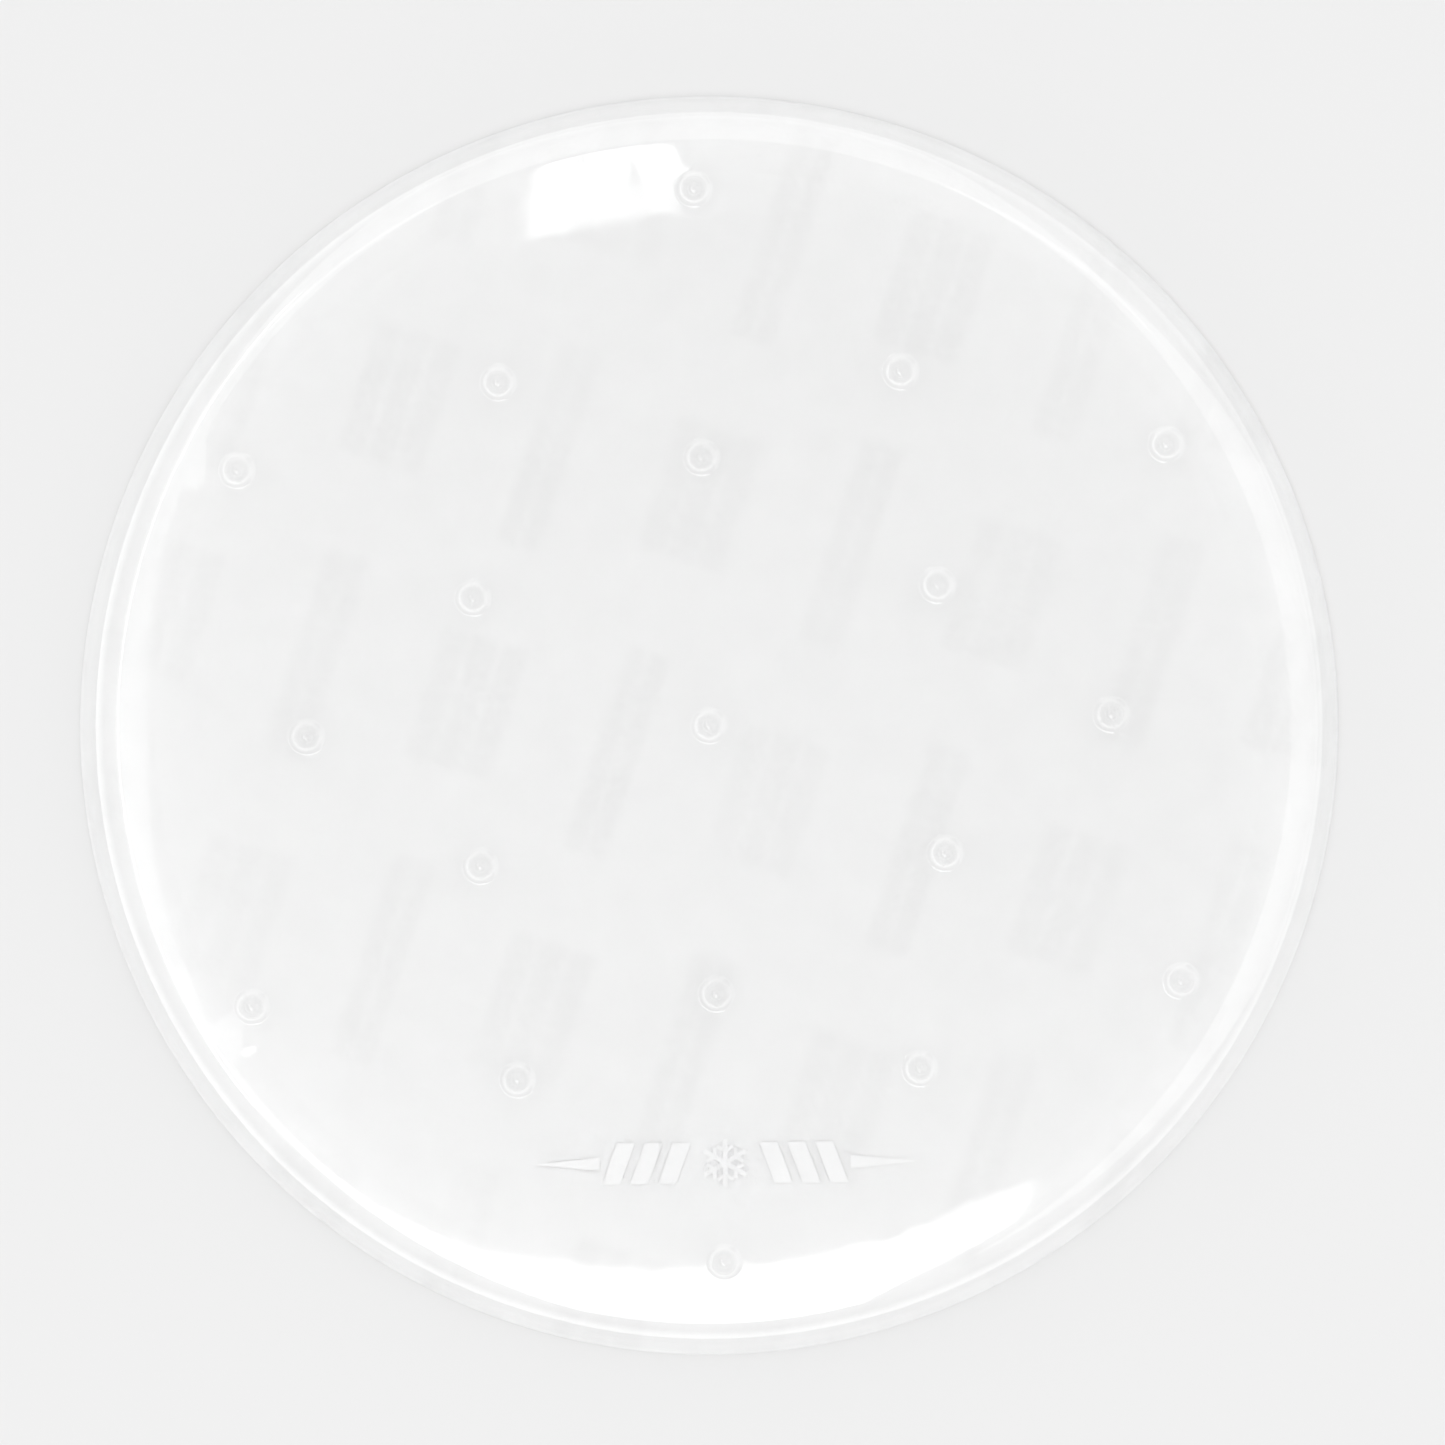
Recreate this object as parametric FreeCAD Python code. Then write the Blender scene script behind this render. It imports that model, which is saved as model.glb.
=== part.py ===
"""Round snowboard stomp pad: a clear moulded mat with nineteen grip studs, stuck down by a
double-coated film and supplied on a printed release liner.

Units are millimetres. +Z points up from the liner's underside to the stud tips, and the origin is
the middle of that underside. -Y is the edge that carries the printed mark.

From the bottom up: liner print, release liner, lower adhesive, carrier film, upper adhesive,
printed mark, clear mat. Everything above the liner peels off it as one piece.
"""

import FreeCAD
import Part

import math
import os

# Driving dimensions
MAT_RADIUS = 70.0
STUD_PITCH = 29.75            # radius of the inner ring of studs
STUD_TURN = 1.6               # degrees, how far the stud pattern is turned against the mark

# Laminate, bottom to top
LINER_RADIUS = MAT_RADIUS
LINER_THICK = 0.11
FILM_RADIUS = 69.6
ADHESIVE_THICK = 0.07
CARRIER_THICK = 0.03
INK_THICK = 0.02

# Clear mat: a section of tangent arcs, each stated by the slope it ends at, in degrees
EDGE_LAND = 0.35              # upright edge below the bevel
BEVEL_SLOPE = 45.0
BEVEL_RUN = 1.8
SHOULDER_ARC = 5.5
SHOULDER_SLOPE = 4.0
EASE_START = 52.0             # radius where the nearly flat crown begins to fall to the shoulder
CROWN_SLOPE = 0.8

# Grip stud: a flared foot, a tapered peg and a round tip
STUD_FOOT_RADIUS = 2.1
STUD_FOOT_LIFT = 0.12         # upright part of the foot above the mat
STUD_NECK_RADIUS = 1.15
STUD_NECK_HEIGHT = 0.75
STUD_TIP_RADIUS = 0.8
STUD_SHOULDER_HEIGHT = 2.05
STUD_HEIGHT = 2.5
STUD_FLARE_DIP = 0.16         # how far the flare's arc dips below its chord
STUD_ROOT = 1.0               # how deep the stud's blank reaches into the mat before the two are fused
STUD_RINGS = ((1.0, 90.0), (1.5, 60.0), (2.0, 90.0))    # stud pitches from the middle, first angle
STUDS_A_RING = 6

# Printed mark on the mat's underside
MARK_CENTRE = (1.8, -48.6)
MARK_TURN = 0.6               # degrees
CRYSTAL_RADIUS = 2.7
CRYSTAL_ARMS = 6
ARM_WIDTH = 0.55
TWIG_LENGTH = 1.05
TWIG_WIDTH = 0.42
TWIG_AT = 1.35                # distance of a twig's root from the crystal's middle
STRIPE_HEIGHT = 4.6
STRIPE_WIDTH = 2.0
STRIPE_GAP = 1.1
STRIPE_LEAN = 1.7
STRIPES_A_SIDE = 3
SPEAR_LENGTH = 7.4
SPEAR_HEIGHT = 1.5

# Marking on the liner's underside: rows of blocks and bars in a brick pattern
ROW_ANGLE = 72.0              # degrees from +X
ROW_SPACING = 17.6
ROW_PERIOD = 60.0
ROW_START = 24.0              # where the first row past the middle has a block
ROWS_A_SIDE = 4
PERIODS_A_SIDE = 2
BLOCK_BARS = 3
BLOCK_BAR = (14.5, 2.2)
BLOCK_BAR_PITCH = 3.4
LONG_BAR = (23.0, 1.5)
LONG_BAR_PITCH = 2.6
LONG_BARS = 2
PRINT_MARGIN = 0.5            # bare edge left inside the liner's rim
SMALLEST_PRINT = 2.0          # mm2, clipped pieces smaller than this are dropped

# Heights worked out from the laminate
LOWER_ADHESIVE_Z = LINER_THICK
CARRIER_Z = LOWER_ADHESIVE_Z + ADHESIVE_THICK
UPPER_ADHESIVE_Z = CARRIER_Z + CARRIER_THICK
MAT_Z = UPPER_ADHESIVE_Z + ADHESIVE_THICK


def vec(x, y, z=0.0):
    return FreeCAD.Vector(x, y, z)


def disc(radius, z, thick):
    return Part.makeCylinder(radius, thick, vec(0, 0, z))


def prism(points, z, thick):
    """A flat polygon given as (x, y) corners, raised to a solid."""
    corners = [vec(x, y, z) for x, y in points]
    face = Part.Face(Part.makePolygon(corners + corners[:1]))
    return face.extrude(vec(0, 0, thick))


def bar(length, width, x, y, z):
    """A flat bar of ink that lies along X, centred on (x, y)."""
    corners = [(-1, -1), (1, -1), (1, 1), (-1, 1)]
    return prism([(x + i * length / 2, y + j * width / 2) for i, j in corners], z, INK_THICK)


def turned(section):
    """A solid of revolution about the Z axis from a closed half section in the XZ plane."""
    return Part.Face(section).revolve(vec(0, 0, 0), vec(0, 0, 1), 360)


def dished(start, end, dip):
    """A hollow arc between two points of a section, that dips below its chord."""
    chord = end - start
    inward = vec(-chord.z, 0, chord.x).normalize()
    return Part.Arc(start, (start + end) * 0.5 + inward * dip, end).toShape()


def cap(rim, tip):
    """An arc of a circle centred on the axis, from a rim up to the axis."""
    rise = tip.z - rim.z
    radius = (rim.x ** 2 + rise ** 2) / (2 * rise)
    half_angle = math.asin(rim.x / radius) / 2
    drop = radius * (1 - math.cos(half_angle))
    return Part.Arc(rim, vec(radius * math.sin(half_angle), 0, tip.z - drop), tip).toShape()


def placed(solid, angle, x, y):
    """A solid turned about the Z axis by an angle in degrees, then moved in the plane."""
    solid.rotate(vec(0, 0, 0), vec(0, 0, 1), angle)
    solid.translate(vec(x, y, 0))
    return solid


def arc_inwards(start, radius, slope_from, slope_to):
    """A round stretch of the mat's section that runs inwards from start and flattens between two
    slopes in degrees. Returns the edge and its inner end."""
    a, b = math.radians(slope_from), math.radians(slope_to)
    centre_r = start.x - radius * math.sin(a)
    centre_z = start.z - radius * math.cos(a)

    def at(angle):
        return vec(centre_r + radius * math.sin(angle), 0, centre_z + radius * math.cos(angle))

    edge = Part.Arc(start, at((a + b) / 2), at(b)).toShape()
    return edge, at(b)


def mat_blank():
    """The mat without its studs, turned from a half section that runs from the bottom edge inwards."""
    base = vec(0, 0, MAT_Z)
    foot = vec(MAT_RADIUS, 0, MAT_Z)
    land = vec(MAT_RADIUS, 0, MAT_Z + EDGE_LAND)
    rise = BEVEL_RUN * math.tan(math.radians(BEVEL_SLOPE))
    bevel = vec(MAT_RADIUS - BEVEL_RUN, 0, land.z + rise)
    shoulder, shoulder_end = arc_inwards(bevel, SHOULDER_ARC, BEVEL_SLOPE, SHOULDER_SLOPE)
    slope_change = math.sin(math.radians(SHOULDER_SLOPE)) - math.sin(math.radians(CROWN_SLOPE))
    ease_arc = (shoulder_end.x - EASE_START) / slope_change
    ease, ease_end = arc_inwards(shoulder_end, ease_arc, SHOULDER_SLOPE, CROWN_SLOPE)
    crown_arc = EASE_START / math.sin(math.radians(CROWN_SLOPE))
    crown, middle = arc_inwards(ease_end, crown_arc, CROWN_SLOPE, 0.0)
    section = Part.Wire([
        Part.makeLine(base, foot),
        Part.makeLine(foot, land),
        Part.makeLine(land, bevel),
        shoulder,
        ease,
        crown,
        Part.makeLine(middle, base),
    ])
    return turned(section)


def top_height(body, x, y):
    """Height of a body's top surface above a place in the plane."""
    plumb_line = Part.makeLine(vec(x, y, MAT_Z), vec(x, y, MAT_RADIUS))
    return body.common(plumb_line).BoundBox.ZMax


def stud_places():
    """Centres of the studs: one in the middle, then the rings round it."""
    places = [(0.0, 0.0)]
    for pitches, first_angle in STUD_RINGS:
        for i in range(STUDS_A_RING):
            angle = math.radians(first_angle + STUD_TURN + 360 / STUDS_A_RING * i)
            radius = pitches * STUD_PITCH
            places.append((radius * math.cos(angle), radius * math.sin(angle)))
    return places


def stud_blank():
    """One stud about the Z axis, with the mat's surface at z = 0."""
    axis_foot = vec(0, 0, -STUD_ROOT)
    root = vec(STUD_FOOT_RADIUS, 0, -STUD_ROOT)
    foot = vec(STUD_FOOT_RADIUS, 0, STUD_FOOT_LIFT)
    neck = vec(STUD_NECK_RADIUS, 0, STUD_NECK_HEIGHT)
    shoulder = vec(STUD_TIP_RADIUS, 0, STUD_SHOULDER_HEIGHT)
    tip = vec(0, 0, STUD_HEIGHT)
    section = Part.Wire([
        Part.makeLine(axis_foot, root),
        Part.makeLine(root, foot),
        dished(foot, neck, STUD_FLARE_DIP),
        Part.makeLine(neck, shoulder),
        cap(shoulder, tip),
        Part.makeLine(tip, axis_foot),
    ])
    return turned(section)


def clear_mat():
    body = mat_blank()
    blank = stud_blank()
    studs = []
    for x, y in stud_places():
        stud = blank.copy()
        stud.translate(vec(x, y, top_height(body, x, y)))
        studs.append(stud)
    return body.fuse(studs)


def snow_crystal(z):
    """Crossed bars for the arms, and a pair of twigs on each arm."""
    step = 360 / CRYSTAL_ARMS
    pieces = []
    for i in range(CRYSTAL_ARMS // 2):
        crossbar = bar(2 * CRYSTAL_RADIUS, ARM_WIDTH, 0, 0, z)
        pieces.append(placed(crossbar, step * (i + 0.5), 0, 0))
    for i in range(CRYSTAL_ARMS):
        angle = step * (i + 0.5)
        x = TWIG_AT * math.cos(math.radians(angle))
        y = TWIG_AT * math.sin(math.radians(angle))
        for side in (-1, 1):
            twig = bar(TWIG_LENGTH, TWIG_WIDTH, TWIG_LENGTH / 2, 0, z)
            pieces.append(placed(twig, angle + side * step, x, y))
    return pieces[0].fuse(pieces[1:]).removeSplitter()


def printed_mark():
    """A snow crystal between two sets of leaning stripes, each with a spear beyond it."""
    z = MAT_Z - INK_THICK
    half = STRIPE_HEIGHT / 2
    solids = [snow_crystal(z)]
    for side in (-1, 1):
        x = CRYSTAL_RADIUS + STRIPE_GAP
        for _ in range(STRIPES_A_SIDE):
            stripe = [
                (side * (x + STRIPE_LEAN), -half),
                (side * (x + STRIPE_LEAN + STRIPE_WIDTH), -half),
                (side * (x + STRIPE_WIDTH), half),
                (side * x, half),
            ]
            solids.append(prism(stripe, z, INK_THICK))
            x += STRIPE_WIDTH + STRIPE_GAP
        x += STRIPE_LEAN / 2
        spear = [(side * x, -SPEAR_HEIGHT / 2), (side * (x + SPEAR_LENGTH), 0), (side * x, SPEAR_HEIGHT / 2)]
        solids.append(prism(spear, z, INK_THICK))
    return [placed(solid, MARK_TURN, *MARK_CENTRE).Solids[0] for solid in solids]


def bar_group(count, size, pitch, along, across):
    """Bars of one size side by side, lying along X, centred on a place in the plane."""
    first = across - (count - 1) / 2 * pitch
    return [bar(*size, along, first + i * pitch, 0) for i in range(count)]


def liner_print():
    """Rows of blocks and long bars on the underside, cut off where they run past the liner's rim."""
    bars = []
    for row in range(-ROWS_A_SIDE, ROWS_A_SIDE):
        across = (row + 0.5) * ROW_SPACING
        start = ROW_START + ROW_PERIOD / 2 * (row % 2)
        for period in range(-PERIODS_A_SIDE, PERIODS_A_SIDE):
            along = start + period * ROW_PERIOD
            bars += bar_group(BLOCK_BARS, BLOCK_BAR, BLOCK_BAR_PITCH, along, across)
            bars += bar_group(LONG_BARS, LONG_BAR, LONG_BAR_PITCH, along + ROW_PERIOD / 2, across)
    printable = disc(LINER_RADIUS - PRINT_MARGIN, 0, INK_THICK)
    kept = []
    for solid in bars:
        clipped = printable.common(placed(solid, ROW_ANGLE, 0, 0))
        kept += [s for s in clipped.Solids if s.Volume > SMALLEST_PRINT * INK_THICK]
    return kept


def write(name, solids):
    """One STEP for a node, holding each of its solids."""
    for solid in solids:
        if not solid.isValid():
            raise ValueError(f"{name} has a solid that isn't valid")
    shape = solids[0] if len(solids) == 1 else Part.makeCompound(solids)
    shape.exportStep(f"parts/{name}.step")
    print(f"{name}: {len(solids)} solids, {sum(s.Volume for s in solids) / 1000:.3f} cm3")


def main():
    os.makedirs("parts", exist_ok=True)
    marking = liner_print()
    mark = printed_mark()
    write("liner_print", marking)
    write("release_liner", disc(LINER_RADIUS, 0, LINER_THICK).cut(marking).Solids)
    write("adhesive_lower", [disc(FILM_RADIUS, LOWER_ADHESIVE_Z, ADHESIVE_THICK)])
    write("carrier_film", [disc(FILM_RADIUS, CARRIER_Z, CARRIER_THICK)])
    write("adhesive_upper", disc(FILM_RADIUS, UPPER_ADHESIVE_Z, ADHESIVE_THICK).cut(mark).Solids)
    write("printed_mark", mark)
    write("clear_mat", clear_mat().Solids)


main()
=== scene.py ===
"""Looks of a round clear snowboard stomp pad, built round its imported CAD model.

Metres, +Z out of the grip studs, -Y towards the edge with the printed mark. The clear mat is one
closed mesh: rings for its rounded rim, a fine polar patch for each stud, and a triangulated field
between them.
"""

import math

import bpy
from mathutils import Matrix, Vector, noise
from mathutils.bvhtree import BVHTree
from mathutils.geometry import delaunay_2d_cdt


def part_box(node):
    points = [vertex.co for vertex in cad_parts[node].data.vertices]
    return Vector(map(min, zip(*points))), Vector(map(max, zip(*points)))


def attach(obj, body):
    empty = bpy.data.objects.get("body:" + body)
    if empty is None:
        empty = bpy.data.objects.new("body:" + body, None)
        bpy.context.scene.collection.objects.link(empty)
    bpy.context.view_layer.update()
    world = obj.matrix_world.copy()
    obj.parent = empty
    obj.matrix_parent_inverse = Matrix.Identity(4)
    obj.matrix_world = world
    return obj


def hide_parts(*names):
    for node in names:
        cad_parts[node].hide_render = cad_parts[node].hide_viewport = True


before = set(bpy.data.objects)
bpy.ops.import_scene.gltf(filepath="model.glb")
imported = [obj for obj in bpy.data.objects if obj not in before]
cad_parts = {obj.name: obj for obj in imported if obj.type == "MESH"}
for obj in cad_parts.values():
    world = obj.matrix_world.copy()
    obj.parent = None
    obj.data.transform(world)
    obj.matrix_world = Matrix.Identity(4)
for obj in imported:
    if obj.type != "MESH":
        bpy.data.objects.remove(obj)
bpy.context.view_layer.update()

MM = 0.001

mat_low, mat_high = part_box("clear_mat")
liner_low, liner_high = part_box("release_liner")
RADIUS = mat_high.x
LAYER_GAP = 0.004 * MM          # keeps the faces of stacked layers apart

# The mat's rim, from the underside inwards; slopes are in degrees
FOOT_ROUND = 0.08 * MM          # radius between the underside and the upright edge
EDGE_LAND = 0.35 * MM           # height of the upright edge
RIM_ROUND = 0.35 * MM           # radius between the upright edge and the bevel
BEVEL_RUN = 1.8 * MM
BEVEL_SLOPE = 45.0
SHOULDER_RUN = 3.505 * MM       # the arc between the bevel and the crown
SHOULDER_SLOPE = 4.0
EASE_START = 52.0 * MM          # distance from the axis where the nearly flat crown begins to fall
CROWN_SLOPE = 0.8
UPRIGHT = 90.0

# The mat's section: (distance from the axis, slope there), each pair joined by a round arc
STATIONS = (
    (RADIUS - BEVEL_RUN, BEVEL_SLOPE),
    (RADIUS - BEVEL_RUN - SHOULDER_RUN, SHOULDER_SLOPE),
    (EASE_START, CROWN_SLOPE),
    (0.0, 0.0),
)
FIELD_RADIUS = STATIONS[1][0]

# A stud's section above the mat, and the thin meniscus round its foot
STUD_HEIGHT = 2.5 * MM
STUD_TIP_RADIUS = 0.84 * MM
STUD_SHOULDER = 2.13 * MM
STUD_NECK_RADIUS = 1.15 * MM
STUD_NECK = 0.75 * MM
STUD_FOOT_RADIUS = 1.98 * MM
STUD_FOOT = 0.03 * MM
FLARE_DIP = 0.07 * MM
MENISCUS_RADIUS = 2.25 * MM
MENISCUS_CROWDING = 1.4         # above 1, its points crowd towards the stud's foot
TIP_SHADE_REACH = (0.95 * MM, 1.2 * MM)    # painted shade: the studs' tips are tinted darker out to here, fading out by here

# Slow hollows and swellings that casting leaves in the top surface: (height, width)
SWELLS = ((0.024 * MM, 21.0 * MM), (0.007 * MM, 7.0 * MM), (0.003 * MM, 3.4 * MM))
SWELL_SEED = 3.7
# Small lumps left by casting: (x, y, radius, height), mostly by studs near the rim
LUMPS = (
    (-55.6 * MM, 29.0 * MM, 3.2 * MM, 0.16 * MM),
    (-51.3 * MM, -34.3 * MM, 3.4 * MM, 0.15 * MM),
    (-40.3 * MM, -34.2 * MM, 2.4 * MM, 0.09 * MM),
    (25.4 * MM, -33.2 * MM, 1.7 * MM, 0.06 * MM),
    (-16.9 * MM, 46.6 * MM, 2.0 * MM, 0.035 * MM),
)

# How finely the meshes follow their shapes
AROUND = 360                    # points round the rim
STUD_AROUND = 40
FIELD_PITCH = 0.9 * MM
FIELD_GAP = 0.6 * FIELD_PITCH   # clear of the studs' outermost rings
LINER_PITCH = 0.7 * MM
SHOULDER_STEPS = 18
BEVEL_STEPS = 4
ROUND_STEPS = 6
FOOT_STEPS = 3
CAP_STEPS = 6
PEG_STEPS = 6
FLARE_STEPS = 9
MENISCUS_STEPS = 6
SHARP_ANGLE = 40.0              # edges that turn more than this stay sharp, in degrees

# The liner, the tape's layers and how they show
LINER_INSET = 0.02 * MM
RIM_LIGHT_BAND = 2.6 * MM             # painted light: width of the band by the cut edge over which the paper is painted whiter
# painted light: how much whiter the paper is painted at its cut edge
RIM_LIGHT_GAIN = 1.1
INK_SPREAD = 0.7 * MM           # how far the print's edges blur through the paper
PRINT_SHADE = 0.055             # how much the print on its back darkens the paper's face
EDGE_BAND = 8.0 * MM            # a layer bonded on both sides is drawn only this far in from its edge
EDGE_BULGE = 0.3                # how far a layer's cut edge bulges, as a share of its thickness
EDGE_WAVES = 9.0                # how often a cut edge wanders in and out, on the way round
BONDED_VEIL = 0.003
BARE_VEIL = 0.012
# (node, slot, raggedness of the cut edge, band or None for a complete disc, veil)
TAPE_LAYERS = (
    ("adhesive_upper", "clear_adhesive", 0.12 * MM, EDGE_BAND, BONDED_VEIL),
    ("carrier_film", "clear_film", 0.01 * MM, EDGE_BAND, BONDED_VEIL),
    ("adhesive_lower", "clear_adhesive", 0.12 * MM, None, BARE_VEIL),
)

# Colours
CLEAR_TINT = (0.992, 0.994, 0.994)
CLEAR_IOR = 1.5
TIP_SHADE_CLARITY = 0.95              # painted shade: how much of the light a stud's darkened tip lets through
UNDERSIDE_TINT = (0.97, 0.97, 0.97)
TAPE_TINT = (0.96, 0.96, 0.955)
PAPER_WHITE = (0.888, 0.888, 0.888)
INK_WHITE = (0.93, 0.93, 0.93)
INK_GREY = (0.40, 0.40, 0.40)

# The floor is a light table, so shadows on it stay faint; it glows more where the lights don't reach
FLOOR_WHITE = (0.245, 0.245, 0.245)
FLOOR_GLOW = 0.466
FLOOR_FAR_GLOW = 0.72
FLOOR_GLOW_REACH = (0.35, 2.2)
FLOOR_REACH = 6.0
FLOOR_DROP = 0.01 * MM

# The room
OVERHEAD_LIGHT = 0.575
HORIZON_LIGHTS = (1.8, 3.6)     # away from the front left, and towards it
HORIZON_SIDE = (-0.64, -0.77, 0.0)
HORIZON_BAND = (0.05, 0.45)     # the directions' heights between which the horizon's light fades
GLOW_LIGHT = 0.6
GLOW_DIRECTION = (-0.22, -0.26, 1.0)
GLOW_COSINES = (0.93, 0.985)

# Soft lights over the pad, as softbox() takes them: (name, azimuth, near edge, far edge, sides, radiance)
PANEL_HEIGHT = 1.2
STRIP_HEIGHT = PANEL_HEIGHT - 0.01
SOFTBOXES = (
    ("key", 280.7, (0.224, PANEL_HEIGHT), (1.36, PANEL_HEIGHT), (-0.6, 0.10), 4.1),
    ("left", 180.0, (0.26, PANEL_HEIGHT), (0.95, PANEL_HEIGHT), (-0.6, 0.6), 1.0),
    ("left_strip", 180.0, (0.70, STRIP_HEIGHT), (0.80, STRIP_HEIGHT), (-0.75, 0.6), 4.6),
    ("right", 5.0, (0.30, PANEL_HEIGHT), (1.6, 0.4), (-0.8, 0.6), 1.05),
    ("back", 90.0, (0.48, PANEL_HEIGHT), (1.6, 0.3), (-0.6, 0.9), 1.0),
)
WINDOW_AZIMUTH = 101.0
WINDOW_EDGES = ((0.19, PANEL_HEIGHT), (0.36, PANEL_HEIGHT))
WINDOW_PANES = ((-0.034, -0.014), (-0.011, 0.010), (0.013, 0.034))
WINDOW_RADIANCE = 4.6

CAMERA_HEIGHT = 1.5
CAMERA_OFFSET = (1.50 * MM, 0.33 * MM)
CAMERA_CLIP = (0.05, 50.0)
FRAME_WIDTH = 160.8 * MM        # width of the picture at the pad
SENSOR_WIDTH = 36.0

FACE_CROSSINGS = 64             # light crosses the clear layers' faces many times on its way


# Sections

def arc_points(centre_r, centre_z, radius, start, end, steps):
    """Points along an arc, both ends included; start and end are its slopes there, in degrees."""
    slopes = [math.radians(start + (end - start) * i / steps) for i in range(steps + 1)]
    return [(centre_r + radius * math.sin(a), centre_z + radius * math.cos(a)) for a in slopes]


def straight_points(start, end, steps):
    """Points along a straight run, without its ends."""
    return [tuple(s + (e - s) * i / steps for s, e in zip(start, end)) for i in range(1, steps)]


def smoothed(points):
    """A section with each corner between its ends eased."""
    eased = points[:1]
    for before, here, after in zip(points, points[1:], points[2:]):
        eased.append(tuple((b + 2 * h + a) / 4 for b, h, a in zip(before, here, after)))
    return eased + points[-1:]


def section_arcs():
    """Each round stretch of the mat's top, from the rim inwards: (inner end, centre's distance from
    the axis, centre's height, radius)."""
    arcs = []
    z = mat_low.z + EDGE_LAND + BEVEL_RUN
    for (r_out, slope_out), (r_in, slope_in) in zip(STATIONS, STATIONS[1:]):
        a, b = math.radians(slope_out), math.radians(slope_in)
        radius = (r_out - r_in) / (math.sin(a) - math.sin(b))
        centre_r = r_out - radius * math.sin(a)
        centre_z = z - radius * math.cos(a)
        arcs.append((r_in, centre_r, centre_z, radius))
        z = centre_z + radius * math.cos(b)
    return arcs


ARCS = section_arcs()


def top_height(r):
    """Height of the mat's smooth top at a distance from the axis, out to the bevel."""
    for r_in, centre_r, centre_z, radius in ARCS:
        if r >= r_in:
            return centre_z + math.sqrt(max(radius ** 2 - (r - centre_r) ** 2, 0.0))
    return mat_high.z - STUD_HEIGHT


def rim_rings():
    """(distance from the axis, height) of each ring outside the field, from the field's edge outwards
    and round the rim to the underside."""
    _, centre_r, centre_z, radius = ARCS[0]
    shoulder = arc_points(centre_r, centre_z, radius, SHOULDER_SLOPE, BEVEL_SLOPE, SHOULDER_STEPS)[1:]
    bevel = math.radians(BEVEL_SLOPE)
    round_r = RADIUS - RIM_ROUND
    tangent_r = round_r + RIM_ROUND * math.sin(bevel)
    tangent_z = mat_low.z + EDGE_LAND + (RADIUS - tangent_r)
    round_z = tangent_z - RIM_ROUND * math.cos(bevel)
    straight = straight_points(shoulder[-1], (tangent_r, tangent_z), BEVEL_STEPS)
    edge = arc_points(round_r, round_z, RIM_ROUND, BEVEL_SLOPE, UPRIGHT, ROUND_STEPS)
    foot_r, foot_z = RADIUS - FOOT_ROUND, mat_low.z + LAYER_GAP
    foot = arc_points(foot_r, foot_z + FOOT_ROUND, FOOT_ROUND, UPRIGHT, 2 * UPRIGHT, FOOT_STEPS)
    return shoulder + straight + edge + foot + [(RADIUS - EDGE_LAND, foot_z)]


def cap_points():
    """The stud's round tip, from beside its top to its shoulder."""
    rise = STUD_HEIGHT - STUD_SHOULDER
    radius = (STUD_TIP_RADIUS ** 2 + rise ** 2) / (2 * rise)
    slope = math.degrees(math.asin(STUD_TIP_RADIUS / radius))
    return arc_points(0.0, STUD_HEIGHT - radius, radius, 0.0, slope, CAP_STEPS)[1:]


def flare_points():
    """The stud's concave flare, from its neck to its foot."""
    run, fall = STUD_FOOT_RADIUS - STUD_NECK_RADIUS, STUD_FOOT - STUD_NECK
    chord = math.hypot(run, fall)
    points = []
    for i in range(FLARE_STEPS + 1):
        share = i / FLARE_STEPS
        dip = FLARE_DIP * 4 * share * (1 - share)
        points.append((
            STUD_NECK_RADIUS + run * share + fall / chord * dip,
            STUD_NECK + fall * share - run / chord * dip,
        ))
    return points


def meniscus_points():
    """The thin skin that urethane draws up round the stud's foot, out to where it ends."""
    points = []
    for i in range(1, MENISCUS_STEPS + 1):
        share = (i / MENISCUS_STEPS) ** MENISCUS_CROWDING
        points.append((
            STUD_FOOT_RADIUS + (MENISCUS_RADIUS - STUD_FOOT_RADIUS) * share,
            STUD_FOOT * (1 - share) ** 3,
        ))
    return points


def stud_section():
    """(distance from the stud's axis, height above the mat) from the tip out to the meniscus's edge."""
    peg = straight_points((STUD_TIP_RADIUS, STUD_SHOULDER), (STUD_NECK_RADIUS, STUD_NECK), PEG_STEPS)
    return smoothed(cap_points() + peg + flare_points() + meniscus_points())


# Meshes

def clamped(value):
    return min(max(value, 0.0), 1.0)


def swell(x, y):
    """Height of the casting's slow unevenness, fading out over the rim."""
    fade = clamped((RADIUS - math.hypot(x, y)) / (RADIUS - FIELD_RADIUS))
    total = 0.0
    for i, (height, width) in enumerate(SWELLS):
        total += height * noise.noise(Vector((x / width, y / width, SWELL_SEED + i)))
    for lump_x, lump_y, radius, height in LUMPS:
        share = math.hypot(x - lump_x, y - lump_y) / radius
        if share < 1.0:
            total += height * (1 - share * share) ** 2
    return total * fade


def on_top(x, y):
    """A point of the mat's top face, where there is no stud."""
    return x, y, top_height(math.hypot(x, y)) + swell(x, y)


def stud_centres():
    """Where the studs stand: the highest point of each group of CAD points near the studs' tips."""
    lowest_tip = mat_high.z - 0.35 * STUD_HEIGHT
    points = [v.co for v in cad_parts["clear_mat"].data.vertices if v.co.z > lowest_tip]
    centres = []
    for co in sorted(points, key=lambda p: (-round(p.z / MM, 4), round(p.x / MM, 4), round(p.y / MM, 4))):
        if all(math.hypot(co.x - c.x, co.y - c.y) > 2 * STUD_FOOT_RADIUS for c in centres):
            centres.append(co.copy())
    return [(c.x, c.y) for c in sorted(centres, key=lambda p: (round(p.x / MM, 3), round(p.y / MM, 3)))]


def even_points(radius, pitch):
    """Points spread evenly over a disc, out to a pitch short of its edge."""
    points = [(0.0, 0.0)]
    rings = int(radius / pitch)
    for ring in range(1, rings):
        r = radius * ring / rings
        for i in range(6 * ring):
            a = 2 * math.pi * (i + 0.5 * (ring % 2)) / (6 * ring)
            points.append((r * math.cos(a), r * math.sin(a)))
    return points


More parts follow.
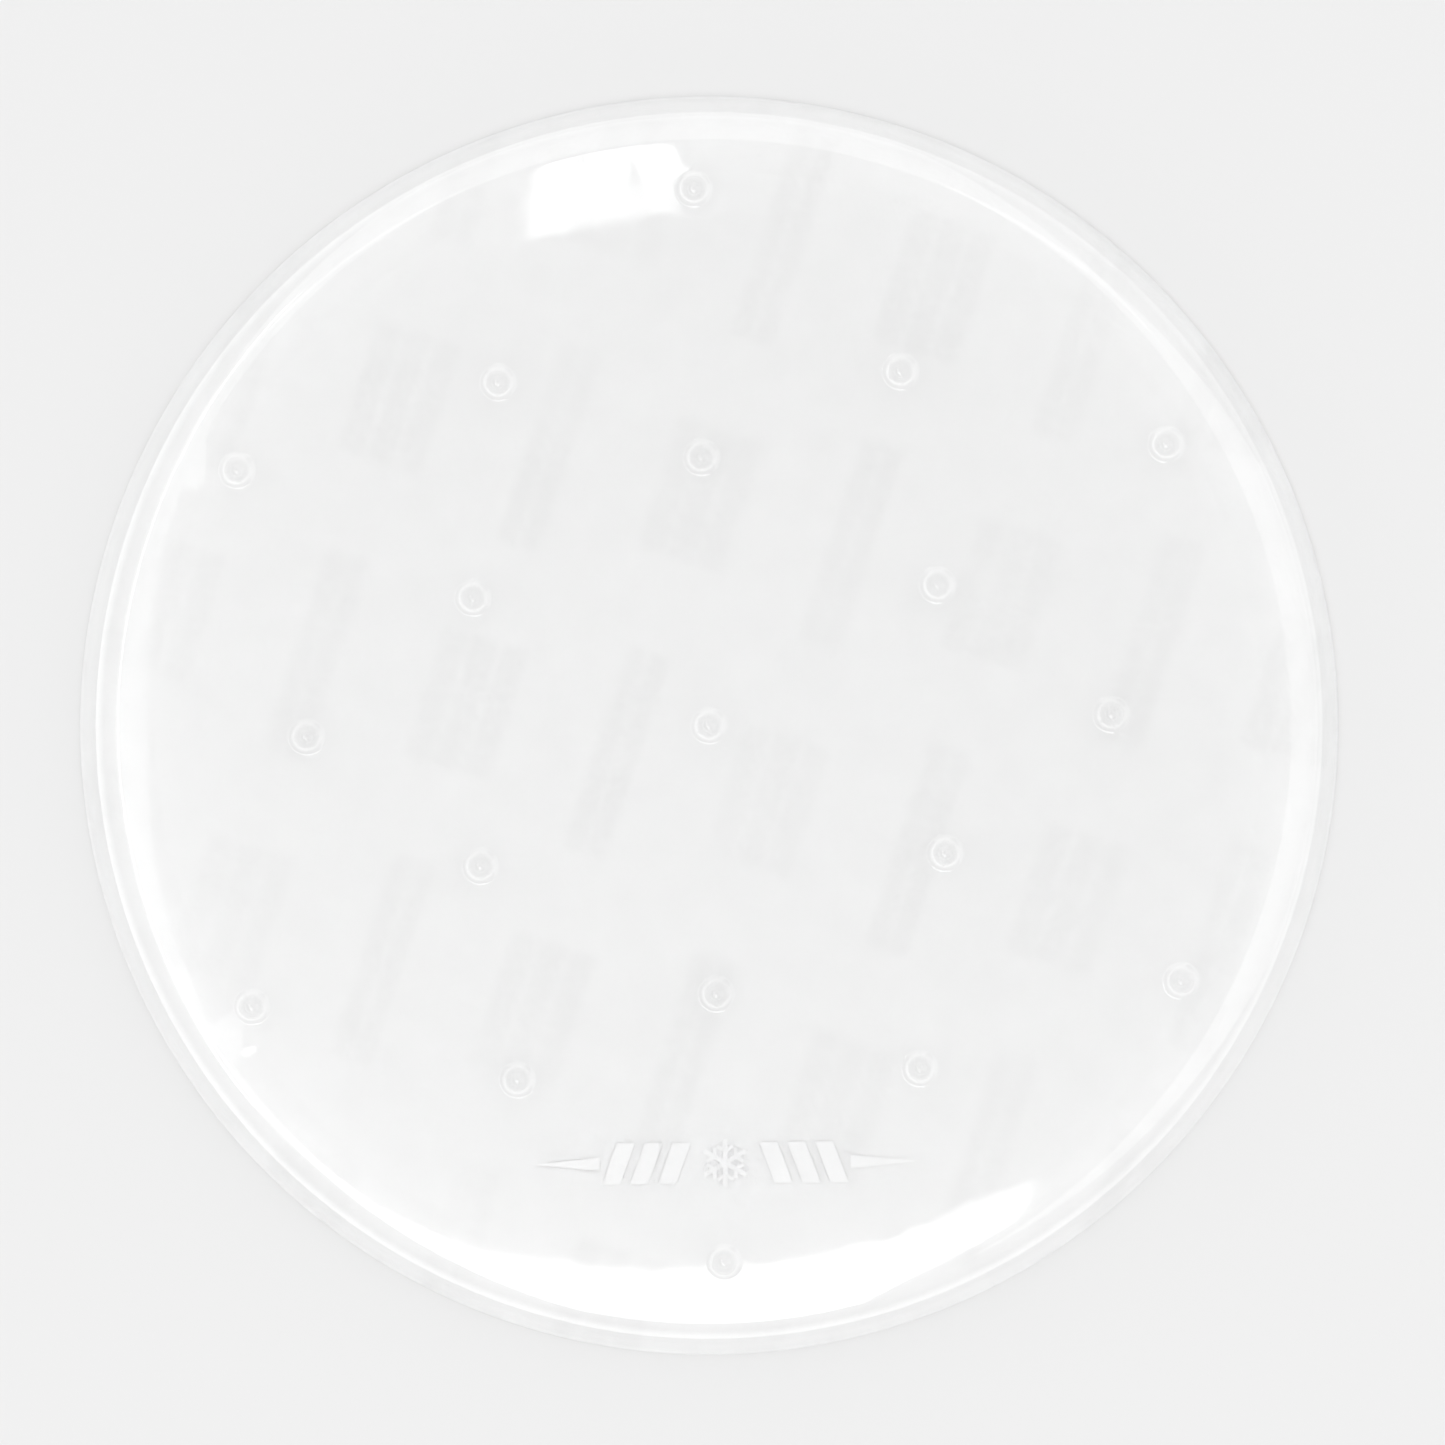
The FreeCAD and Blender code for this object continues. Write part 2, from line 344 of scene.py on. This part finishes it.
def circle(radius, count, centre=(0.0, 0.0)):
    """Flat points round a circle."""
    angles = [2 * math.pi * i / count for i in range(count)]
    return [(centre[0] + radius * math.cos(a), centre[1] + radius * math.sin(a)) for a in angles]


def triangulated(points, fixed):
    """Triangles over flat points, with some edges fixed, as tuples of the points' numbers."""
    scaled = [p / RADIUS for p in points]     # the triangulation needs coordinates of order one
    _, _, triangles, origins, _, _ = delaunay_2d_cdt(scaled, fixed, [], 0, 1e-9, True)
    return [tuple(origins[i][0] for i in triangle) for triangle in triangles]


def add_points(verts, points):
    """Adds points to a list and gives their numbers in it."""
    first = len(verts)
    verts.extend(points)
    return list(range(first, len(verts)))


def ring_edges(first, count):
    """The edges of a closed ring of points numbered from the first."""
    return [(first + i, first + (i + 1) % count) for i in range(count)]


def ring_faces(inner, outer):
    """Quads between two rings of point numbers of the same length."""
    count = len(inner)
    return [(inner[i], outer[i], outer[(i + 1) % count], inner[(i + 1) % count]) for i in range(count)]


def new_piece(name, verts, faces):
    mesh = bpy.data.meshes.new(name)
    mesh.from_pydata(verts, [], faces)
    mesh.validate()
    mesh.polygons.foreach_set("use_smooth", [True] * len(mesh.polygons))
    mesh.set_sharp_from_angle(angle=math.radians(SHARP_ANGLE))
    mesh.update()
    piece = bpy.data.objects.new(name, mesh)
    bpy.context.scene.collection.objects.link(piece)
    return piece


def mark(piece, name, values):
    """Gives each of a piece's points a number that its material reads."""
    attribute = piece.data.attributes.new(name, "FLOAT", "POINT")
    attribute.data.foreach_set("value", values)


def add_stud(verts, faces, centre, section):
    """Adds one stud's points and faces, and gives the numbers of its outermost ring."""
    base = on_top(*centre)[2]
    tip = add_points(verts, [(*centre, base + STUD_HEIGHT)])[0]
    inner = None
    for rho, height in section:
        settle = clamped((rho - STUD_TIP_RADIUS) / (STUD_FOOT_RADIUS - STUD_TIP_RADIUS))
        ring = add_points(verts, [
            (x, y, height + base + (on_top(x, y)[2] - base) * settle)
            for x, y in circle(rho, STUD_AROUND, centre)
        ])
        if inner is None:
            faces.extend((tip, *edge) for edge in ring_edges(ring[0], STUD_AROUND))
        else:
            faces.extend(ring_faces(inner, ring))
        inner = ring
    return inner


def add_field(verts, faces, studs, stud_rings, seam):
    """Adds the mat's top face between the studs' outermost rings and the seam with the rim."""
    field = add_points(verts, [
        on_top(*point) for point in even_points(FIELD_RADIUS, FIELD_PITCH)
        if all(math.dist(point, stud) > MENISCUS_RADIUS + FIELD_GAP for stud in studs)
    ])
    numbers, fixed = [], []
    for ring in stud_rings + [seam]:
        fixed += ring_edges(len(numbers), len(ring))
        numbers += ring
    numbers += field
    flat = [Vector(verts[n][:2]) for n in numbers]
    stud_reach = MENISCUS_RADIUS * math.cos(math.pi / STUD_AROUND)
    for triangle in triangulated(flat, fixed):
        middle = sum((flat[i] for i in triangle), Vector((0, 0))) / 3
        if all(math.dist(middle, stud) > stud_reach for stud in studs):
            faces.append(tuple(numbers[i] for i in triangle))


def build_mat():
    """The clear mat, whose last face is its underside."""
    verts, faces = [], []
    studs = stud_centres()
    section = stud_section()
    stud_rings = [add_stud(verts, faces, centre, section) for centre in studs]
    seam = add_points(verts, [on_top(x, y) for x, y in circle(FIELD_RADIUS, AROUND)])
    add_field(verts, faces, studs, stud_rings, seam)
    inner = seam
    for r, z in rim_rings():
        ring = add_points(verts, [(x, y, z + swell(x, y)) for x, y in circle(r, AROUND)])
        faces += ring_faces(inner, ring)
        inner = ring
    faces.append(tuple(reversed(inner)))
    piece = new_piece("clear_mat_cast", verts, faces)
    # painted shade: each point's nearness to a stud's axis, for darkening the tips
    distances = [min(math.dist((x, y), stud) for stud in studs) for x, y, _ in verts]
    mark(piece, "painted_tip_shade", [clamped((TIP_SHADE_REACH[1] - d) / (TIP_SHADE_REACH[1] - TIP_SHADE_REACH[0])) for d in distances])
    return piece


def thin_layer(name, radius, low, high, raggedness, band):
    """A thin disc whose cut edge wanders in and out by the raggedness and bulges at its middle. With a
    band it stops that far in from the edge: a layer bonded on both sides shows only by its edge."""
    section = [(0.0, low), (EDGE_BULGE * (high - low), (low + high) / 2), (0.0, high)]
    if band:
        section += [(-band, high), (-band, low)]
    verts, faces, rings = [], [], []
    for out, z in section:
        points = []
        for i in range(AROUND):
            a = 2 * math.pi * i / AROUND
            place = Vector((EDGE_WAVES * math.cos(a), EDGE_WAVES * math.sin(a), high / MM))
            r = radius - raggedness + raggedness * noise.noise(place) + out
            points.append((r * math.cos(a), r * math.sin(a), z))
        rings.append(add_points(verts, points))
    for lower, upper in zip(rings, rings[1:]):
        faces += ring_faces(upper, lower)
    if band:
        faces += ring_faces(rings[0], rings[-1])
    else:
        faces += [tuple(rings[-1]), tuple(reversed(rings[0]))]
    return new_piece(name, verts, faces)


def build_liner():
    """The release liner: a thin disc whose top is fine enough to carry how its print shows through."""
    print_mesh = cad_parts["liner_print"].data
    print_top = max(v.co.z for v in print_mesh.vertices)
    ink = BVHTree.FromPolygons(
        [(v.co.x, v.co.y, 0.0) for v in print_mesh.vertices],
        [tuple(face.vertices) for face in print_mesh.polygons],
    )
    low, high = print_top + LAYER_GAP / 2, liner_high.z - LAYER_GAP
    radius = liner_high.x - LINER_INSET
    rim = circle(radius, AROUND)
    flat = [Vector(p) for p in rim + even_points(radius, LINER_PITCH)]
    verts = [(p.x, p.y, high) for p in flat]
    faces = triangulated(flat, ring_edges(0, AROUND))
    lower = add_points(verts, [(x, y, low) for x, y in rim])
    faces += ring_faces(list(range(AROUND)), lower)
    faces.append(tuple(reversed(lower)))
    piece = new_piece("release_liner_sheet", verts, faces)
    shades = []
    for x, y, z in verts:
        near = max(0.0, 1.0 - ink.find_nearest((x, y, 0.0))[3] / INK_SPREAD)
        shades.append(near * near * (3 - 2 * near) if z == high else 0.0)
    mark(piece, "show_through", shades)
    # painted light: how near each point is to the cut edge, where the paper is painted whiter
    mark(piece, "painted_rim_light", [max(0.0, 1.0 - (radius - math.hypot(x, y)) / RIM_LIGHT_BAND) for x, y, _ in verts])
    return piece


# Materials

def new_material(name):
    material = bpy.data.materials.new(name)
    material.use_nodes = True
    nodes = material.node_tree.nodes
    return material, nodes, material.node_tree.links, nodes["Principled BSDF"]


def pattern(nodes, links, width, detail, seed):
    """Smooth noise with lumps about so wide, in object space, as a number from 0 to 1."""
    place = nodes.new("ShaderNodeTexCoord")
    shift = nodes.new("ShaderNodeVectorMath")
    shift.operation = "ADD"
    shift.inputs[1].default_value = (seed, seed, seed)
    links.new(place.outputs["Object"], shift.inputs[0])
    texture = nodes.new("ShaderNodeTexNoise")
    texture.inputs["Scale"].default_value = 1.0 / width
    texture.inputs["Detail"].default_value = detail
    links.new(shift.outputs["Vector"], texture.inputs["Vector"])
    return texture.outputs["Fac"]


def marked(nodes, name):
    """A number that mark() gave the piece's points."""
    attribute = nodes.new("ShaderNodeAttribute")
    attribute.attribute_name = name
    return attribute.outputs["Fac"]


def ranged(nodes, links, source, low, high, from_low=0.3, from_high=0.7):
    """A number carried from one range to another, and held inside it."""
    change = nodes.new("ShaderNodeMapRange")
    links.new(source, change.inputs["Value"])
    change.inputs["From Min"].default_value = from_low
    change.inputs["From Max"].default_value = from_high
    change.inputs["To Min"].default_value = low
    change.inputs["To Max"].default_value = high
    return change.outputs["Result"]


def calculated(nodes, links, operation, *numbers):
    """Several numbers added together or multiplied together."""
    result = numbers[0]
    for number in numbers[1:]:
        step = nodes.new("ShaderNodeMath")
        step.operation = operation
        links.new(result, step.inputs[0])
        links.new(number, step.inputs[1])
        result = step.outputs["Value"]
    return result


def tinted(nodes, links, amount, color):
    """A colour made lighter or darker by a number."""
    tint = nodes.new("ShaderNodeVectorMath")
    tint.operation = "SCALE"
    tint.inputs[0].default_value = color
    links.new(amount, tint.inputs["Scale"])
    return tint.outputs["Vector"]


def bumped(nodes, links, shader, height, distance, strength):
    bump = nodes.new("ShaderNodeBump")
    bump.inputs["Distance"].default_value = distance
    bump.inputs["Strength"].default_value = strength
    links.new(height, bump.inputs["Height"])
    links.new(bump.outputs["Normal"], shader.inputs["Normal"])


def clear_urethane():
    """Clear cast urethane with a faint orange peel, patches of slightly duller skin, and stud tips tinted
    darker as painted shade.
    """
    material, nodes, links, shader = new_material("clear_urethane_cast")
    # painted shade: the stud tips' colour is darkened to stand in for the shadow under each stud
    shaded_tip_clarity = ranged(nodes, links, marked(nodes, "painted_tip_shade"), 1.0, TIP_SHADE_CLARITY, 0.0, 1.0)
    links.new(tinted(nodes, links, shaded_tip_clarity, CLEAR_TINT), shader.inputs["Base Color"])
    shader.inputs["Transmission Weight"].default_value = 1.0
    shader.inputs["IOR"].default_value = CLEAR_IOR
    skin = pattern(nodes, links, width=9 * MM, detail=3.0, seed=0.4)
    links.new(ranged(nodes, links, skin, 0.02, 0.07), shader.inputs["Roughness"])
    orange_peel = pattern(nodes, links, width=1.6 * MM, detail=1.0, seed=0.7)
    bumped(nodes, links, shader, orange_peel, distance=0.002 * MM, strength=1.0)
    return material


def clear_tape(name, color, veil, width):
    """A nearly invisible layer: a faint uneven veil over whatever lies under it."""
    material, nodes, links, shader = new_material(name)
    shader.inputs["Base Color"].default_value = (*color, 1.0)
    shader.inputs["Roughness"].default_value = 0.2
    cloud = pattern(nodes, links, width, detail=2.0, seed=0.2)
    links.new(ranged(nodes, links, cloud, 0.5 * veil, veil), shader.inputs["Alpha"])
    return material


def white_ink():
    """Opaque screen ink: nearly even, with a faint mottle and the mesh's fine texture."""
    material, nodes, links, shader = new_material("white_screen_ink")
    mottle = ranged(nodes, links, pattern(nodes, links, width=2.2 * MM, detail=2.0, seed=0.9), 0.985, 1.0)
    mesh_marks = pattern(nodes, links, width=0.25 * MM, detail=1.0, seed=0.5)
    grain = ranged(nodes, links, mesh_marks, 0.985, 1.0)
    amount = calculated(nodes, links, "MULTIPLY", mottle, grain)
    links.new(tinted(nodes, links, amount, INK_WHITE), shader.inputs["Base Color"])
    shader.inputs["Roughness"].default_value = 0.45
    bumped(nodes, links, shader, mesh_marks, distance=0.004 * MM, strength=0.4)
    return material


def liner_paper():
    """Siliconised white paper: fibres, soft clouds, the print on its back showing through, and painted light
    that whitens it towards its cut edge.
    """
    material, nodes, links, shader = new_material("siliconised_paper")
    ink_grain = ranged(nodes, links, pattern(nodes, links, width=0.9 * MM, detail=3.0, seed=0.1), 0.45, 1.0)
    blotches = ranged(nodes, links, pattern(nodes, links, width=26 * MM, detail=2.0, seed=0.8), 0.45, 1.0)
    shown = calculated(nodes, links, "MULTIPLY", marked(nodes, "show_through"), ink_grain, blotches)
    print_shade = ranged(nodes, links, shown, 1.0, 1.0 - PRINT_SHADE, 0.0, 1.0)
    fibre_pattern = pattern(nodes, links, width=0.35 * MM, detail=4.0, seed=0.6)
    fibres = ranged(nodes, links, fibre_pattern, 0.975, 1.0)
    clouds = ranged(nodes, links, pattern(nodes, links, width=6 * MM, detail=3.0, seed=0.3), 0.99, 1.0)
    # painted light: the paper is painted whiter towards its cut edge
    rim_lightening = ranged(nodes, links, marked(nodes, "painted_rim_light"), 1.0, RIM_LIGHT_GAIN, 0.0, 0.5)
    amount = calculated(nodes, links, "MULTIPLY", print_shade, fibres, clouds, rim_lightening)
    links.new(tinted(nodes, links, amount, PAPER_WHITE), shader.inputs["Base Color"])
    shader.inputs["Roughness"].default_value = 0.42
    bumped(nodes, links, shader, fibre_pattern, distance=0.006 * MM, strength=0.5)
    return material


def grey_ink():
    """Thin flexographic ink that lets the paper's grain break it up."""
    material, nodes, links, shader = new_material("liner_ink")
    paper_grain = pattern(nodes, links, width=0.4 * MM, detail=4.0, seed=0.6)
    grain = ranged(nodes, links, paper_grain, 0.88, 1.05)
    fill = ranged(nodes, links, pattern(nodes, links, width=3 * MM, detail=2.0, seed=0.2), 0.93, 1.0)
    amount = calculated(nodes, links, "MULTIPLY", grain, fill)
    links.new(tinted(nodes, links, amount, INK_GREY), shader.inputs["Base Color"])
    shader.inputs["Roughness"].default_value = 0.6
    bumped(nodes, links, shader, paper_grain, distance=0.006 * MM, strength=0.5)
    return material


def floor_paint():
    """Matt white that glows evenly, and more far from the pad."""
    material, nodes, links, shader = new_material("floor_paint")
    shader.inputs["Base Color"].default_value = (*FLOOR_WHITE, 1.0)
    shader.inputs["Roughness"].default_value = 1.0
    shader.inputs["Specular IOR Level"].default_value = 0.0
    shader.inputs["Emission Color"].default_value = (1.0, 1.0, 1.0, 1.0)
    place = nodes.new("ShaderNodeTexCoord")
    distance = nodes.new("ShaderNodeVectorMath")
    distance.operation = "LENGTH"
    links.new(place.outputs["Object"], distance.inputs[0])
    glow = ranged(nodes, links, distance.outputs["Value"], FLOOR_GLOW, FLOOR_FAR_GLOW, *FLOOR_GLOW_REACH)
    links.new(glow, shader.inputs["Emission Strength"])
    return material


# Studio

def build_camera():
    data = bpy.data.cameras.new("camera")
    data.sensor_width = SENSOR_WIDTH
    data.lens = SENSOR_WIDTH * CAMERA_HEIGHT / FRAME_WIDTH
    data.clip_start, data.clip_end = CAMERA_CLIP
    camera = bpy.data.objects.new("camera", data)
    camera.location = (*CAMERA_OFFSET, CAMERA_HEIGHT)
    bpy.context.scene.collection.objects.link(camera)
    bpy.context.scene.camera = camera


def build_floor():
    mesh = bpy.data.meshes.new("floor")
    z = liner_low.z - FLOOR_DROP
    corners = [(-1, -1), (1, -1), (1, 1), (-1, 1)]
    mesh.from_pydata([(x * FLOOR_REACH, y * FLOOR_REACH, z) for x, y in corners], [], [(0, 1, 2, 3)])
    floor = bpy.data.objects.new("floor", mesh)
    bpy.context.scene.collection.objects.link(floor)
    floor.data.materials.append(floor_paint())


def softbox(name, azimuth, near, far, sides, radiance):
    """A rectangular soft light over the pad. It runs out along an azimuth in degrees from its near edge
    to its far edge, each (distance, height), and its sides lie so far left and right of that line."""
    outward = Vector((math.cos(math.radians(azimuth)), math.sin(math.radians(azimuth)), 0.0))
    across = Vector((-outward.y, outward.x, 0.0))
    run = outward * (far[0] - near[0]) + Vector((0, 0, far[1] - near[1]))
    length, width = run.length, sides[1] - sides[0]
    run.normalize()
    middle = outward * (near[0] + far[0]) / 2 + across * (sides[0] + sides[1]) / 2
    middle.z = (near[1] + far[1]) / 2
    behind = across.cross(run)
    if behind.z < 0:
        behind.negate()
    data = bpy.data.lights.new(name, "AREA")
    data.shape = "RECTANGLE"
    data.size, data.size_y = length, width
    data.energy = radiance * math.pi * length * width
    light = bpy.data.objects.new(name, data)
    turn = Matrix((run, behind.cross(run), behind)).transposed()
    light.matrix_world = Matrix.Translation(middle) @ turn.to_4x4()
    light.visible_camera = False
    bpy.context.scene.collection.objects.link(light)


def build_world():
    """A pale room: light near the horizon, most to the front left, dimmer overhead, with one soft glow
    high to the front left."""
    world = bpy.data.worlds.new("studio")
    world.use_nodes = True
    nodes, links = world.node_tree.nodes, world.node_tree.links
    place = nodes.new("ShaderNodeTexCoord")
    parts = nodes.new("ShaderNodeSeparateXYZ")
    links.new(place.outputs["Generated"], parts.inputs["Vector"])

    def toward(direction):
        """The cosine of the angle between a ray and a direction."""
        dot = nodes.new("ShaderNodeVectorMath")
        dot.operation = "DOT_PRODUCT"
        dot.inputs[1].default_value = Vector(direction).normalized()
        links.new(place.outputs["Generated"], dot.inputs[0])
        return dot.outputs["Value"]

    lowness = ranged(nodes, links, parts.outputs["Z"], 1.0, 0.0, *HORIZON_BAND)
    lowness.node.interpolation_type = "SMOOTHSTEP"
    extra = [light - OVERHEAD_LIGHT for light in HORIZON_LIGHTS]
    around = ranged(nodes, links, toward(HORIZON_SIDE), *extra, -1.0, 1.0)
    horizon = calculated(nodes, links, "MULTIPLY", around, lowness)
    glow = ranged(nodes, links, toward(GLOW_DIRECTION), 0.0, GLOW_LIGHT, *GLOW_COSINES)
    glow.node.interpolation_type = "SMOOTHSTEP"
    room = nodes.new("ShaderNodeMath")
    room.operation = "ADD"
    room.inputs[1].default_value = OVERHEAD_LIGHT
    links.new(calculated(nodes, links, "ADD", horizon, glow), room.inputs[0])
    links.new(room.outputs["Value"], nodes["Background"].inputs["Strength"])
    nodes["Background"].inputs["Color"].default_value = (1, 1, 1, 1)
    bpy.context.scene.world = world


def build_lights():
    for settings in SOFTBOXES:
        softbox(*settings)
    for sides in WINDOW_PANES:
        softbox("window", WINDOW_AZIMUTH, *WINDOW_EDGES, sides, WINDOW_RADIANCE)


# Pieces

mat = build_mat()
mat.data.materials.append(clear_urethane())
mat.data.materials.append(clear_tape("bonded_underside", UNDERSIDE_TINT, veil=0.01, width=7 * MM))
mat.data.polygons[len(mat.data.polygons) - 1].material_index = 1
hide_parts("clear_mat")
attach(mat, "mat")

liner = build_liner()
liner.data.materials.append(liner_paper())
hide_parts("release_liner")
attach(liner, "backing")

for node, slot, raggedness, band, veil in TAPE_LAYERS:
    low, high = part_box(node)
    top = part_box("printed_mark")[0].z if node == "adhesive_upper" else high.z
    layer = thin_layer(node + "_layer", high.x, low.z + LAYER_GAP / 4, top - LAYER_GAP / 4, raggedness, band)
    layer.data.materials.append(clear_tape(node + "_look", TAPE_TINT, veil, width=5 * MM))
    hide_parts(node)
    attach(layer, "mat")

for node, look in (("printed_mark", white_ink()), ("liner_print", grey_ink())):
    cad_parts[node].data.materials.clear()
    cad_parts[node].data.materials.append(look)

build_camera()
build_floor()
build_world()
build_lights()

bpy.context.scene.cycles.transparent_max_bounces = FACE_CROSSINGS
bpy.context.scene.view_settings.view_transform = "Standard"
bpy.context.scene.view_settings.look = "None"
